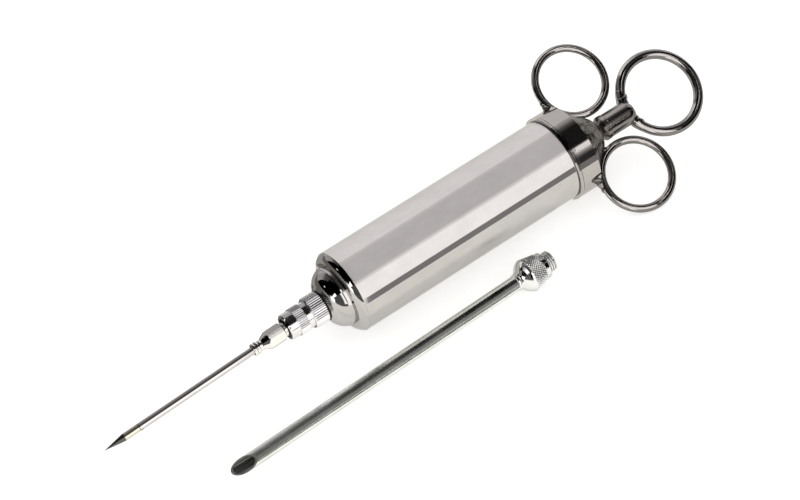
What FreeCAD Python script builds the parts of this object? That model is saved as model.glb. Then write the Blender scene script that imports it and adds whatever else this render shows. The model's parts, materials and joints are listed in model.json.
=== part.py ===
import FreeCAD, Part
import os
import re
import Sketcher

# Meat injector with its spare needle. X runs along the injector's axis, from the
# needle at -X to the thumb ring at +X. The origin is on that axis, where the barrel
# tube meets the front cap. The injector lies at rest on its rear collar and on its
# lower finger ring, so the table is one collar radius below the axis.

V = FreeCAD.Vector

# A cut that removes less than this, in cubic millimetres, has missed the metal.
LEAST_CUT = 1e-3
# Two sketch points closer than this, in millimetres, are the same point.
SAME_POINT = 1e-6

# Driving dimensions in millimetres, angles in degrees. A radius says so in its name.
# Stations forward of the seam are given as positive lengths ending in _ahead.
DIMENSIONS = {
    "fit_gap": 0.05,
    "through_length": 20.0,
    # barrel tube
    "barrel_radius": 17.0,
    "barrel_bore_radius": 16.2,
    "barrel_length": 109.0,
    "thread_radius": 16.75,
    "thread_start": 101.2,
    # front cap
    "nose_ahead": 9.9,
    "nose_lip_radius": 7.0,
    "nose_dome_mid_ahead": 7.6,
    "nose_dome_mid_radius": 10.4,
    "nose_crest_ahead": 4.6,
    "nose_crest_radius": 12.5,
    "crease_width": 0.3,
    "crease_depth": 0.25,
    "land_back_ahead": 2.6,
    "shoulder_start_radius": 13.9,
    "shoulder_mid_radius": 15.9,
    "shoulder_mid_ahead": 1.4,
    "seam_radius": 16.85,
    "socket_radius": 4.25,
    "socket_floor_ahead": 4.5,
    "nose_hole_radius": 1.5,
    "throat_ahead": 2.4,
    "throat_mouth": 1.5,
    "throat_mouth_radius": 14.4,
    "spigot_length": 4.0,
    "spigot_wall": 1.1,
    # luer adapter
    "stub_radius": 4.2,
    "stub_end_ahead": 4.8,
    "grip_back_ahead": 10.4,
    "grip_front_ahead": 16.5,
    "grip_radius": 6.4,
    "adapter_neck_radius": 5.35,
    "band_back_ahead": 18.9,
    "band_front_ahead": 22.9,
    "band_radius": 5.65,
    "sleeve_front_ahead": 26.9,
    "sleeve_radius": 5.25,
    "edge_chamfer": 0.4,
    "mouth_radius": 3.95,
    "mouth_floor_ahead": 19.6,
    "luer_tip_ahead": 27.3,
    "luer_tip_radius": 2.0,
    "luer_root_radius": 2.25,
    "adapter_hole_radius": 1.2,
    "knurl_count": 44,
    "knurl_depth": 0.2,
    "knurl_width": 0.5,
    "washer_radius": 5.7,
    "washer_thickness": 0.4,
    # needle hub
    "hub_rear_ahead": 22.6,
    "hub_flange_thickness": 1.3,
    "hub_flange_radius": 3.8,
    "hub_neck_radius": 2.9,
    "flats_back_ahead": 28.3,
    "flats_front_ahead": 38.2,
    "flats_across": 6.4,
    "flats_corner_cut": 2.0,
    "flats_envelope_radius": 3.65,
    "flats_back_taper": 0.6,
    "flare_radius": 2.75,
    "flare_ahead": 36.9,
    "flare_end_ahead": 35.0,
    "bead_radius": 2.5,
    "bead_root_radius": 2.0,
    "bead_one_ahead": 42.3,
    "bead_two_ahead": 40.95,
    "bead_end_ahead": 39.5,
    "neck_bead_radius": 2.15,
    "hub_socket_floor_ahead": 29.2,
    "luer_play": 0.22,
    # the needle leans a little in the adapter, about a point on the luer cone
    "lean_ahead": 21.0,
    "lean_yaw": 1.39,
    "lean_droop": 1.01,
    "hub_roll": -20.0,
    "outlet_roll": 106.0,
    # needle tube and tip
    "needle_radius": 1.525,
    "needle_bore_radius": 1.2,
    "needle_root_ahead": 31.0,
    "needle_end_ahead": 94.3,
    "tip_cone_ahead": 101.0,
    "tip_ahead": 109.6,
    "tip_point_radius": 0.08,
    "tip_spigot_length": 1.6,
    "outlet_radius": 0.5,
    "outlet_ahead": 93.6,
    # rear cap
    "cap_radius": 18.2,
    "cap_front": 101.4,
    "cap_back": 111.0,
    "cap_bore_gap": 0.06,
    "cap_web": 1.1,
    "cap_hole_radius": 13.0,
    "cap_bead_width": 1.1,
    "cap_bead_groove": 0.3,
    "cap_bead_round": 0.45,
    "gasket_thickness": 0.8,
    "gasket_inner_radius": 14.9,
    # bell behind the collar
    "bell_foot_radius": 17.3,
    "bell_waist": 115.2,
    "bell_waist_radius": 12.4,
    "bell_crown": 121.0,
    "bell_crown_radius": 7.8,
    "bell_round": 122.7,
    "bell_round_radius": 5.9,
    "bell_top": 123.4,
    "bell_top_radius": 3.3,
    "bell_seat": 118.0,
    "bell_seat_radius": 5.4,
    "bell_cavity_end": 116.6,
    "bush_radius": 3.6,
    "bush_flange_radius": 4.9,
    "bush_flange_thickness": 1.0,
    "bush_end": 122.4,
    "bell_hole_radius": 2.4,
    # finger rings
    "ring_radius": 14.35,
    "ring_wire_radius": 1.6,
    "ring_offset": 22.6,
    "ring_station": 127.0,
    "braze_offset": 1.2,
    "braze_radius": 1.15,
    "braze_reach": 124.0,
    "braze_blob_radius": 1.5,
    "braze_blob_offset": 18.9,
    "braze_blob_station": 112.2,
    # plunger
    "rod_radius": 2.0,
    "rod_front": 2.8,
    "rod_back": 131.0,
    "jam_nut_front": 124.25,
    "jam_nut_thickness": 0.9,
    "jam_nut_across": 5.5,
    # piston stack
    "piston_nut_thickness": 2.2,
    "piston_nut_across": 7.0,
    "piston_nut_front": 3.3,
    "piston_washer_thickness": 0.8,
    "piston_washer_radius": 13.0,
    "piston_front": 6.4,
    "piston_length": 10.0,
    "piston_radius": 15.9,
    "seal_groove_radius": 13.4,
    "seal_groove_width": 2.8,
    "seal_front_start": 1.3,
    "seal_rear_start": 5.9,
    "seal_outer_radius": 16.15,
    "seal_edge": 0.5,
    # thumb ring and hub
    "thumb_hub_front": 125.2,
    "thumb_hub_face_radius": 4.3,
    "thumb_flange_radius": 5.15,
    "thumb_flange_back": 127.7,
    "thumb_hub_radius": 4.9,
    "thumb_hub_round": 138.0,
    "thumb_hub_mid": 140.4,
    "thumb_hub_mid_radius": 4.0,
    "thumb_hub_back": 141.2,
    "thumb_hub_back_radius": 3.0,
    "thumb_ring_radius": 16.2,
    "thumb_wire_radius": 2.0,
    "thumb_ring_station": 155.6,
    "thumb_roll": 29.1,
    "thumb_braze_radius": 2.45,
    "thumb_braze_reach": 6.3,
    "thumb_braze_front": 137.0,
    "thumb_braze_length": 8.1,
    # spare needle, measured from its own tip
    "spare_tip_station": -74.9,
    "spare_side": 31.65,
    "spare_radius": 3.0,
    "spare_bore_radius": 2.4,
    "spare_bevel_length": 10.05,
    "spare_bevel_roll": 35.8,
    "bevel_overcut": 1.0,
    "spare_tube_length": 132.4,
    "spare_tube_seat": 6.0,
    "spare_cone_length": 5.4,
    "spare_cone_radius": 3.3,
    "spare_grip_radius": 6.9,
    "spare_grip_length": 7.0,
    "spare_rim_radius": 5.35,
    "spare_rim_length": 1.2,
    "spare_stub_length": 3.6,
    "spare_contact": 1.0,
}

doc = FreeCAD.newDocument("meat_injector")
sheet = doc.addObject("Spreadsheet::Sheet", "sizes")
probe = doc.addObject("App::FeaturePython", "probe")


def fill_sheet():
    for row, (name, size) in enumerate(DIMENSIONS.items(), start=1):
        sheet.set(f"A{row}", name)
        sheet.set(f"B{row}", str(size))
        sheet.setAlias(f"B{row}", name)
    doc.recompute()


def in_sheet(formula):
    """The formula with every dimension's name pointing at its cell."""

    def cell(word):
        name = word.group()
        return f"sizes.{name}" if name in DIMENSIONS else name

    return re.sub(r"[a-z_]+", cell, formula)


def number(formula):
    """The formula's present value."""
    value = probe.evalExpression(in_sheet(formula))
    return float(getattr(value, "Value", value))


def bind(thing, **formulas):
    """Binds properties of a document object to formulas of the sheet."""
    for name, formula in formulas.items():
        thing.setExpression(name, in_sheet(formula))


def pose(thing, base, roll):
    """Binds the placement: a base point and a turn about the X axis."""
    x, y, z = base
    thing.setExpression(
        "Placement",
        in_sheet(f"placement(vector({x}; {y}; {z}); rotation(0; 0; {roll}))"),
    )


# ---------------------------------------------------------------- sketch helpers


def origin_plane(body, role):
    planes = [feature for feature in body.Origin.OriginFeatures if feature.Role == role]
    return planes[0]


def new_sketch(body, name, role, offset=None):
    """A sketch on one of the body's origin planes, moved along its normal by offset."""
    sketch = body.newObject("Sketcher::SketchObject", name)
    sketch.AttachmentSupport = [(origin_plane(body, role), "")]
    sketch.MapMode = "FlatFace"
    if offset:
        sketch.setExpression("AttachmentOffset.Base.z", in_sheet(offset))
    doc.recompute()
    return sketch


def hold_point(sketch, edge, end, corner):
    """Fixes one point of the sketch at two formulas, measured from the origin."""
    for kind, formula in (("DistanceX", corner[0]), ("DistanceY", corner[1])):
        rule = Sketcher.Constraint(kind, -1, 1, edge, end, number(formula))
        index = sketch.addConstraint(rule)
        sketch.setExpression(f"Constraints[{index}]", in_sheet(formula))


def outline(sketch, corners):
    """A closed outline. A corner is (x, y), or (x, y, (x, y)) where the edge that
    leaves it is an arc through the second point."""
    points = [V(number(corner[0]), number(corner[1]), 0) for corner in corners]
    following = points[1:] + points[:1]
    edges = []
    for corner, start, finish in zip(corners, points, following):
        if len(corner) == 3:
            through = V(number(corner[2][0]), number(corner[2][1]), 0)
            edge = sketch.addGeometry(Part.Arc(start, through, finish))
        else:
            edge = sketch.addGeometry(Part.LineSegment(start, finish))
        begins = 1 if sketch.getPoint(edge, 1).distanceToPoint(start) < SAME_POINT else 2
        edges.append((edge, begins, 3 - begins))
    for index, corner in enumerate(corners):
        edge, begins, ends = edges[index]
        next_edge, next_begins, _ = edges[(index + 1) % len(edges)]
        joined = Sketcher.Constraint("Coincident", edge, ends, next_edge, next_begins)
        sketch.addConstraint(joined)
        hold_point(sketch, edge, begins, corner[:2])
        if len(corner) == 3:
            through = V(number(corner[2][0]), number(corner[2][1]), 0)
            guide = sketch.addGeometry(Part.Point(through), True)
            hold_point(sketch, guide, 1, corner[2])
            sketch.addConstraint(Sketcher.Constraint("PointOnObject", guide, 1, edge))
    doc.recompute()


def circle(sketch, radius):
    """A circle about the sketch's origin."""
    edge = sketch.addGeometry(Part.Circle(V(0, 0, 0), V(0, 0, 1), number(radius)))
    sketch.addConstraint(Sketcher.Constraint("Coincident", edge, 3, -1, 1))
    index = sketch.addConstraint(Sketcher.Constraint("Radius", edge, number(radius)))
    sketch.setExpression(f"Constraints[{index}]", in_sheet(radius))


# --------------------------------------------------------------- feature helpers


def new_body(name):
    body = doc.addObject("PartDesign::Body", name)
    body.Label = name
    return body


def turned(name, corners):
    """A body turned about the X axis; the corners are (station, radius)."""
    body = new_body(name)
    sketch = new_sketch(body, f"{name}_outline", "XZ_Plane")
    outline(sketch, corners)
    revolution = body.newObject("PartDesign::Revolution", f"{name}_turned")
    revolution.Profile = sketch
    revolution.ReferenceAxis = (sketch, ["H_Axis"])
    revolution.Angle = 360
    sketch.Visibility = False
    doc.recompute()
    return body


def washer_body(name, start, length, inner, outer):
    """A plain ring on the axis."""
    finish = f"{start} + {length}"
    corners = [(start, inner), (start, outer), (finish, outer), (finish, inner)]
    return turned(name, corners)


def cut_away(body, name, sketch, length, both_ways=False):
    """Pockets a sketch from its plane, and insists that it removes metal."""
    before = body.Shape.Volume
    pocket = body.newObject("PartDesign::Pocket", name)
    pocket.Profile = sketch
    pocket.Type = 0
    pocket.Midplane = both_ways
    bind(pocket, Length=length)
    doc.recompute()
    if body.Shape.Volume > before - LEAST_CUT:
        raise RuntimeError(f"{name} cuts nothing")
    return pocket


def cut_through(body, name, sketch):
    """Pockets a sketch on a plane through the axis right through the body."""
    return cut_away(body, name, sketch, "through_length", both_ways=True)


def straight_knurl(body, name, back_ahead, front_ahead, radius):
    """V grooves along X all round a turned band."""
    sketch = new_sketch(body, f"{name}_groove", "YZ_Plane", f"-{back_ahead}")
    edge = f"{radius} + knurl_depth"
    corners = [
        ("-knurl_width", edge),
        ("0", f"{radius} - knurl_depth"),
        ("knurl_width", edge),
    ]
    outline(sketch, corners)
    pocket = cut_away(body, f"{name}_first", sketch, f"{front_ahead} - {back_ahead}")
    pattern = body.newObject("PartDesign::PolarPattern", f"{name}_round")
    pattern.Originals = [pocket]
    pattern.Axis = (sketch, ["N_Axis"])
    pattern.Angle = 360
    bind(pattern, Occurrences="knurl_count")
    body.Tip = pattern
    doc.recompute()


def rod_shape(name, start, length, radius):
    """A plain cylinder along X, used as a tool."""
    cylinder = doc.addObject("Part::Cylinder", name)
    bind(cylinder, Radius=radius, Height=length)
    place = f"placement(vector({start}; 0; 0); rotation(0; 90; 0))"
    cylinder.setExpression("Placement", in_sheet(place))
    return cylinder


def torus_shape(name, major, minor, base, roll):
    torus = doc.addObject("Part::Torus", name)
    bind(torus, Radius1=major, Radius2=minor)
    pose(torus, base, roll)
    return torus


def cut_shape(name, base, tools):
    """base minus every tool."""
    if len(tools) == 1:
        tool = tools[0]
    else:
        tool = doc.addObject("Part::MultiFuse", f"{name}_tools")
        tool.Shapes = tools
    result = doc.addObject("Part::Cut", name)
    result.Base = base
    result.Tool = tool
    result.Label = name
    return result


def common_shape(name, first, second):
    result = doc.addObject("Part::Common", name)
    result.Base = first
    result.Tool = second
    return result


def hex_nut(name, start, thickness, across):
    """A hexagon nut on the axis, bored to clear the rod."""
    prism = doc.addObject("Part::Prism", f"{name}_blank")
    prism.Polygon = 6
    bind(prism, Circumradius=f"{across} / sqrt(3)", Height=thickness)
    place = f"placement(vector({start}; 0; 0); rotation(0; 90; 0))"
    prism.setExpression("Placement", in_sheet(place))
    bore = rod_shape(f"{name}_bore", start, thickness, "rod_radius + fit_gap")
    return cut_shape(name, prism, [bore])


# --------------------------------------------------------------------- sub-parts


def barrel_tube():
    """Plain tube; its rear end is turned down a little for the collar's thread."""
    corners = [
        ("0", "barrel_bore_radius"),
        ("0", "barrel_radius"),
        ("thread_start", "barrel_radius"),
        ("thread_start", "thread_radius"),
        ("barrel_length", "thread_radius"),
        ("barrel_length", "barrel_bore_radius"),
    ]
    return turned("barrel_tube", corners)


def front_cap():
    """Stepped nose: lip, dome, crease, land, rounded shoulder and a spigot that
    fills the tube's mouth. Its socket takes the adapter's stub."""
    spigot = "barrel_bore_radius - fit_gap"
    crease_end = "-nose_crest_ahead + crease_width"
    corners = [
        ("-nose_ahead", "socket_radius"),
        ("-nose_ahead", "nose_lip_radius - edge_chamfer"),
        (
            "-nose_ahead + edge_chamfer",
            "nose_lip_radius + edge_chamfer",
            ("-nose_dome_mid_ahead", "nose_dome_mid_radius"),
        ),
        ("-nose_crest_ahead", "nose_crest_radius - crease_depth"),
        (crease_end, "nose_crest_radius"),
        ("-land_back_ahead", "nose_crest_radius"),
        (
            "-land_back_ahead",
            "shoulder_start_radius",
            ("-shoulder_mid_ahead", "shoulder_mid_radius"),
        ),
        ("0", "seam_radius"),
        ("0", spigot),
        ("spigot_length", spigot),
        ("spigot_length", f"{spigot} - spigot_wall"),
        ("throat_mouth", "throat_mouth_radius"),
        ("-throat_ahead", "nose_hole_radius"),
        ("-socket_floor_ahead", "nose_hole_radius"),
        ("-socket_floor_ahead", "socket_radius"),
    ]
    return turned("front_cap", corners)


def luer_adapter():
    """Knurled adapter: a threaded stub for the nose, and an open mouth with the
    tapered cone that the needle hub seats on."""
    corners = [
        ("-luer_tip_ahead", "adapter_hole_radius"),
        ("-luer_tip_ahead", "luer_tip_radius"),
        ("-mouth_floor_ahead", "luer_root_radius"),
        ("-mouth_floor_ahead", "mouth_radius"),
        ("-sleeve_front_ahead", "mouth_radius"),
        ("-sleeve_front_ahead", "sleeve_radius - edge_chamfer"),
        ("-sleeve_front_ahead + edge_chamfer", "sleeve_radius"),
        ("-band_front_ahead", "sleeve_radius"),
        ("-band_front_ahead", "band_radius"),
        ("-band_back_ahead", "band_radius"),
        ("-band_back_ahead", "adapter_neck_radius"),
        ("-grip_front_ahead", "adapter_neck_radius"),
        ("-grip_front_ahead", "grip_radius - edge_chamfer"),
        ("-grip_front_ahead + edge_chamfer", "grip_radius"),
        ("-grip_back_ahead - edge_chamfer", "grip_radius"),
        ("-grip_back_ahead", "grip_radius - edge_chamfer"),
        ("-grip_back_ahead", "stub_radius"),
        ("-stub_end_ahead - edge_chamfer", "stub_radius"),
        ("-stub_end_ahead", "stub_radius - edge_chamfer"),
        ("-stub_end_ahead", "adapter_hole_radius"),
    ]
    body = turned("luer_adapter", corners)
    straight_knurl(body, "small_band", "band_back_ahead", "band_front_ahead", "band_radius")
    straight_knurl(body, "grip_band", "grip_back_ahead", "grip_front_ahead", "grip_radius")
    return body


def adapter_washer():
    start = "-nose_ahead - washer_thickness - fit_gap"
    inner = "stub_radius + fit_gap"
    return washer_body("adapter_washer", start, "washer_thickness", inner, "washer_radius")


def lean(body, roll):
    """Leans a piece of the fitted needle about a point on the luer cone, after a
    turn about its own axis. The tip goes down and towards -Y."""
    base = (
        "lean_ahead * (cos(lean_yaw) * cos(lean_droop) - 1)",
        "lean_ahead * sin(lean_yaw) * cos(lean_droop)",
        "lean_ahead * sin(lean_droop)",
    )
    x, y, z = base
    turn = f"rotation(lean_yaw; -lean_droop; {roll})"
    place = f"placement(vector({x}; {y}; {z}); {turn})"
    body.setExpression("Placement", in_sheet(place))
    doc.recompute()


def needle_hub():
    """Hub with two beads, a square body with cut corners, and a round flange that
    enters the adapter's mouth. Its socket seats on the adapter's cone."""
    bead_one_mid = "-(bead_one_ahead + bead_two_ahead) / 2"
    bead_two_mid = "-(bead_two_ahead + bead_end_ahead) / 2"
    neck_mid = "-(bead_end_ahead + flats_front_ahead) / 2"
    tube_seat = "needle_radius + fit_gap"
    corners = [
        ("-bead_one_ahead", tube_seat),
        ("-bead_one_ahead", "bead_root_radius", (bead_one_mid, "bead_radius")),
        ("-bead_two_ahead", "bead_root_radius", (bead_two_mid, "bead_radius")),
        ("-bead_end_ahead", "bead_root_radius", (neck_mid, "neck_bead_radius")),
        ("-flats_front_ahead", "bead_root_radius"),
        ("-flare_ahead", "flare_radius"),
        ("-flare_end_ahead", "flats_envelope_radius"),
        ("-flats_back_ahead - flats_back_taper", "flats_envelope_radius"),
        ("-flats_back_ahead", "hub_neck_radius"),
        ("-hub_rear_ahead - hub_flange_thickness", "hub_neck_radius"),
        ("-hub_rear_ahead - hub_flange_thickness", "hub_flange_radius"),
        ("-hub_rear_ahead", "hub_flange_radius"),
        ("-hub_rear_ahead", "luer_root_radius + luer_play"),
        ("-hub_socket_floor_ahead", "luer_tip_radius + luer_play"),
        ("-hub_socket_floor_ahead", "needle_bore_radius"),
        ("-needle_root_ahead", "needle_bore_radius"),
        ("-needle_root_ahead", tube_seat),
    ]
    body = turned("needle_hub", corners)
    sketch = new_sketch(body, "hub_flats", "YZ_Plane", "-flats_back_ahead")
    circle(sketch, "flats_across")
    half = "flats_across / 2"
    short = "(flats_across / 2 - flats_corner_cut / sqrt(2))"
    octagon = [
        (half, short),
        (short, half),
        (f"-{short}", half),
        (f"-{half}", short),
        (f"-{half}", f"-{short}"),
        (f"-{short}", f"-{half}"),
        (short, f"-{half}"),
        (half, f"-{short}"),
    ]
    outline(sketch, octagon)
    cut_away(body, "hub_flats_cut", sketch, "flats_front_ahead - flats_back_ahead")
    lean(body, "hub_roll")
    return body


def needle_tube():
    """Thin tube with a cross hole just behind the plug, which lets the liquid out."""
    start = "-needle_end_ahead"
    length = "needle_end_ahead - needle_root_ahead - fit_gap"
    body = washer_body("needle_tube", start, length, "needle_bore_radius", "needle_radius")
    sketch = new_sketch(body, "outlet_outline", "XY_Plane")
    centre = V(number("-outlet_ahead"), 0, 0)
    edge = sketch.addGeometry(Part.Circle(centre, V(0, 0, 1), number("outlet_radius")))
    hold_point(sketch, edge, 3, ("-outlet_ahead", "0"))
    index = sketch.addConstraint(Sketcher.Constraint("Radius", edge, number("outlet_radius")))
    sketch.setExpression(f"Constraints[{index}]", in_sheet("outlet_radius"))
    cut_through(body, "outlet", sketch)
    lean(body, "outlet_roll")
    return body


def needle_tip():
    """Solid pencil point with a spigot inside the tube."""
    spigot_end = "-needle_end_ahead + tip_spigot_length"
    corners = [
        ("-tip_ahead", "0"),
        ("-tip_ahead", "tip_point_radius"),
        ("-tip_cone_ahead", "needle_radius"),
        ("-needle_end_ahead - fit_gap", "needle_radius"),
        ("-needle_end_ahead - fit_gap", "needle_bore_radius - fit_gap"),
        (spigot_end, "needle_bore_radius - fit_gap"),
        (spigot_end, "0"),
    ]
    body = turned("needle_tip", corners)
    lean(body, "0")
    return body


def cap_gasket():
    start = "barrel_length + fit_gap"
    length = "gasket_thickness - 2 * fit_gap"
    return washer_body("cap_gasket", start, length, "gasket_inner_radius", "thread_radius")


def rear_cap():
    """Screw collar: a bead at its front edge, a bore for the tube's end and a web."""
    bore = "thread_radius + cap_bore_gap"
    seat = "barrel_length + gasket_thickness"
    bead_end = "cap_front + cap_bead_width"
    corners = [
        ("cap_front", bore),
        ("cap_front", "cap_radius - cap_bead_round"),
        ("cap_front + cap_bead_round", "cap_radius"),
        (bead_end, "cap_radius"),
        (f"{bead_end} + cap_bead_groove / 2", "cap_radius - cap_bead_groove"),
        (f"{bead_end} + cap_bead_groove", "cap_radius"),
        ("cap_back", "cap_radius"),
        ("cap_back", "cap_hole_radius"),
        (seat, "cap_hole_radius"),
        (seat, bore),
    ]
    return turned("rear_cap", corners)


def bell_blank():
    """The bell before the rings' grooves are cut in it."""
    bore = "bush_radius + fit_gap"
    corners = [
        ("cap_back", "cap_hole_radius"),
        ("cap_back", "bell_foot_radius", ("bell_waist", "bell_waist_radius")),
        ("bell_crown", "bell_crown_radius", ("bell_round", "bell_round_radius")),
        ("bell_top", "bell_top_radius"),
        ("bell_top", "bell_hole_radius"),
        ("bush_end + fit_gap", "bell_hole_radius"),
        ("bush_end + fit_gap", bore),
        ("bell_seat", bore),
        ("bell_seat", "bell_seat_radius"),
        ("bell_cavity_end", "bell_seat_radius"),
    ]
    return turned("bell_blank", corners)


def rod_bush():
    """Flanged guide bush for the plunger rod, seated from inside the bell."""
    flange_start = "bell_seat - fit_gap - bush_flange_thickness"
    bore = "rod_radius + fit_gap"
    corners = [
        (flange_start, bore),
        (flange_start, "bush_flange_radius"),
        ("bell_seat - fit_gap", "bush_flange_radius"),
        ("bell_seat - fit_gap", "bush_radius"),
        ("bush_end", "bush_radius"),
        ("bush_end", bore),
    ]
    return turned("rod_bush", corners)


REST_ROLL = "asin((cap_radius - ring_wire_radius) / (ring_offset + ring_radius))"


def finger_side(side):
    """The base point of a finger ring; side is 1 for the upper, -1 for the lower."""
    return (
        "ring_station",
        f"{side} * ring_offset * cos({REST_ROLL})",
        f"{side} * ring_offset * sin({REST_ROLL})",
    )


def finger_torus(name, side, major, minor):
    return torus_shape(name, major, minor, finger_side(side), REST_ROLL)


def finger_ring(name, side):
    ring = finger_torus(name, side, "ring_radius", "ring_wire_radius")
    ring.Label = name
    return ring


def ring_groove(name, side):
    """A finger ring with clearance round it, used as a tool."""
    return finger_torus(name, side, "ring_radius", "ring_wire_radius + fit_gap")


def rear_dome(bell, grooves):
    """The bell with a shallow groove for each finger ring."""
    return cut_shape("rear_dome", bell, grooves)


def ring_braze(name, side, tools):
    """Braze along the joint of ring and bell, with a blob at the collar's corner.
    The tools are what it must stay clear of."""
    bead = finger_torus(f"{name}_bead", side, "ring_radius + braze_offset", "braze_radius")
    start = "cap_back + fit_gap"
    reach = rod_shape(f"{name}_reach", start, "braze_reach - cap_back", "cap_radius")
    run = common_shape(f"{name}_run", bead, reach)
    blob = doc.addObject("Part::Sphere", f"{name}_blob")
    bind(blob, Radius="braze_blob_radius")
    base = (
        "braze_blob_station",
        f"{side} * braze_blob_offset * cos({REST_ROLL})",
        f"{side} * braze_blob_offset * sin({REST_ROLL})",
    )
    pose(blob, base, "0")
    filler = doc.addObject("Part::MultiFuse", f"{name}_filler")
    filler.Shapes = [run, blob]
    return cut_shape(name, filler, tools)


def plunger_rod():
    corners = [
        ("rod_front", "0"),
        ("rod_front", "rod_radius - edge_chamfer"),
        ("rod_front + edge_chamfer", "rod_radius"),
        ("rod_back", "rod_radius"),
        ("rod_back", "0"),
    ]
    return turned("plunger_rod", corners)


def piston_body():
    """Metal spool with a groove for each seal."""
    grooves = []
    for start in ("seal_front_start", "seal_rear_start"):
        groove_start = f"piston_front + {start}"
        groove_end = f"{groove_start} + seal_groove_width"
        grooves += [
            (groove_start, "piston_radius"),
            (groove_start, "seal_groove_radius"),
            (groove_end, "seal_groove_radius"),
            (groove_end, "piston_radius"),
        ]
    back = "piston_front + piston_length"
    corners = [
        ("piston_front", "rod_radius + fit_gap"),
        ("piston_front", "piston_radius"),
        *grooves,
        (back, "piston_radius"),
        (back, "rod_radius + fit_gap"),
    ]
    return turned("piston_body", corners)


def piston_seal(name, start):
    """Rubber ring with eased outer edges, free to turn in its groove."""
    front = f"piston_front + {start} + fit_gap"
    back = f"piston_front + {start} + seal_groove_width - fit_gap"
    inner = "seal_groove_radius + fit_gap"
    corners = [
        (front, inner),
        (front, "seal_outer_radius - seal_edge"),
        (f"{front} + seal_edge", "seal_outer_radius"),
        (f"{back} - seal_edge", "seal_outer_radius"),
        (back, "seal_outer_radius - seal_edge"),
        (back, inner),
    ]
    return turned(name, corners)


def piston_washer(name, start):
    inner = "rod_radius + fit_gap"
    return washer_body(name, start, "piston_washer_thickness", inner, "piston_washer_radius")


def piston_nuts():
    """The two nuts that clamp the piston stack."""
    back = "piston_front + piston_length + piston_washer_thickness"
    starts = {"nut_front": "piston_nut_front", "nut_rear": back}
    pair = doc.addObject("Part::Compound", "piston_nuts")
    pair.Links = [
        hex_nut(name, start, "piston_nut_thickness", "piston_nut_across")
        for name, start in starts.items()
    ]
    pair.Label = "piston_nuts"
    return pair


def thumb_torus(name, minor):
    base = ("thumb_ring_station", "0", "0")
    return torus_shape(name, "thumb_ring_radius", minor, base, "thumb_roll")


def thumb_hub_blank():
    """Hub with a chamfered flange, a blind bore for the rod and a rounded end."""
    bore = "rod_radius + fit_gap"
    corners = [
        ("thumb_hub_front", bore),
        ("thumb_hub_front", "thumb_hub_face_radius"),
        ("thumb_hub_front + thumb_flange_radius - thumb_hub_face_radius", "thumb_flange_radius"),
        ("thumb_flange_back", "thumb_flange_radius"),
        ("thumb_flange_back + edge_chamfer", "thumb_hub_radius"),
        ("thumb_hub_round", "thumb_hub_radius", ("thumb_hub_mid", "thumb_hub_mid_radius")),
        ("thumb_hub_back", "thumb_hub_back_radius"),
        ("thumb_hub_back", "0"),
        ("rod_back + fit_gap", "0"),
        ("rod_back + fit_gap", bore),
    ]
    return turned("thumb_hub_blank", corners)


def thumb_hub(saddle):
    """The hub with a saddle for the thumb ring."""
    return cut_shape("thumb_hub", thumb_hub_blank(), [saddle])


def thumb_ring():
    ring = thumb_torus("thumb_ring", "thumb_wire_radius")
    ring.Label = "thumb_ring"
    return ring


def thumb_ring_braze(saddle):
    """A short sleeve of braze on the ring, either side of the hub."""
    sleeve = thumb_torus("thumb_sleeve", "thumb_braze_radius")
    start = "thumb_braze_front"
    length = "thumb_braze_length"
    reach = rod_shape("thumb_reach", start, length, "thumb_braze_reach")
    run = common_shape("thumb_run", sleeve, reach)
    inside = rod_shape(
        "thumb_inside", f"{start} - edge_chamfer", length, "thumb_hub_radius + fit_gap"
    )
    return cut_shape("thumb_ring_braze", run, [saddle, inside])


SPARE_TILT = (
    "asin((spare_grip_radius - spare_radius)"
    " / (spare_tube_length + spare_cone_length - spare_contact))"
)


def lay_down(body):
    """Lays a piece of the spare needle on the table, on its tip and its grip."""
    height = f"spare_radius - cap_radius - spare_contact * sin({SPARE_TILT})"
    place = (
        f"placement(vector(spare_tip_station; -spare_side; {height}); "
        f"rotation(0; -{SPARE_TILT}; spare_bevel_roll))"
    )
    body.setExpression("Placement", in_sheet(place))
    doc.recompute()


def spare_tube():
    """Open tube cut to a long bevel."""
    length = "spare_tube_length + spare_tube_seat"
    body = washer_body("spare_tube", "0", length, "spare_bore_radius", "spare_radius")
    sketch = new_sketch(body, "bevel_outline", "XZ_Plane")
    overrun = "bevel_overcut * spare_bevel_length / (2 * spare_radius)"
    corners = [
        (f"0 - {overrun}", "0 - spare_radius - bevel_overcut"),
        (f"spare_bevel_length + {overrun}", "spare_radius + bevel_overcut"),
        (f"0 - {overrun}", "spare_radius + bevel_overcut"),
    ]
    outline(sketch, corners)
    cut_through(body, "bevel", sketch)
    lay_down(body)
    return body


def spare_hub():
    """Cone, tapered grip, rim and the stub that screws into the nose socket."""
    seat = "spare_radius + fit_gap"
    seat_end = "spare_tube_length + spare_tube_seat + fit_gap"
    grip_front = "spare_tube_length + spare_cone_length"
    grip_back = f"{grip_front} + spare_grip_length"
    rim_back = f"{grip_back} + spare_rim_length"
    stub_back = f"{rim_back} + spare_stub_length"
    corners = [
        ("spare_tube_length", seat),
        ("spare_tube_length", "spare_cone_radius"),
        (grip_front, "spare_grip_radius"),
        (grip_back, "spare_rim_radius"),
        (rim_back, "spare_rim_radius"),
        (rim_back, "stub_radius"),
        (f"{stub_back} - edge_chamfer", "stub_radius"),
        (stub_back, "stub_radius - edge_chamfer"),
        (stub_back, "spare_bore_radius"),
        (seat_end, "spare_bore_radius"),
        (seat_end, seat),
    ]
    body = turned("spare_hub", corners)
    lay_down(body)
    return body


# ------------------------------------------------------------------------- build


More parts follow.
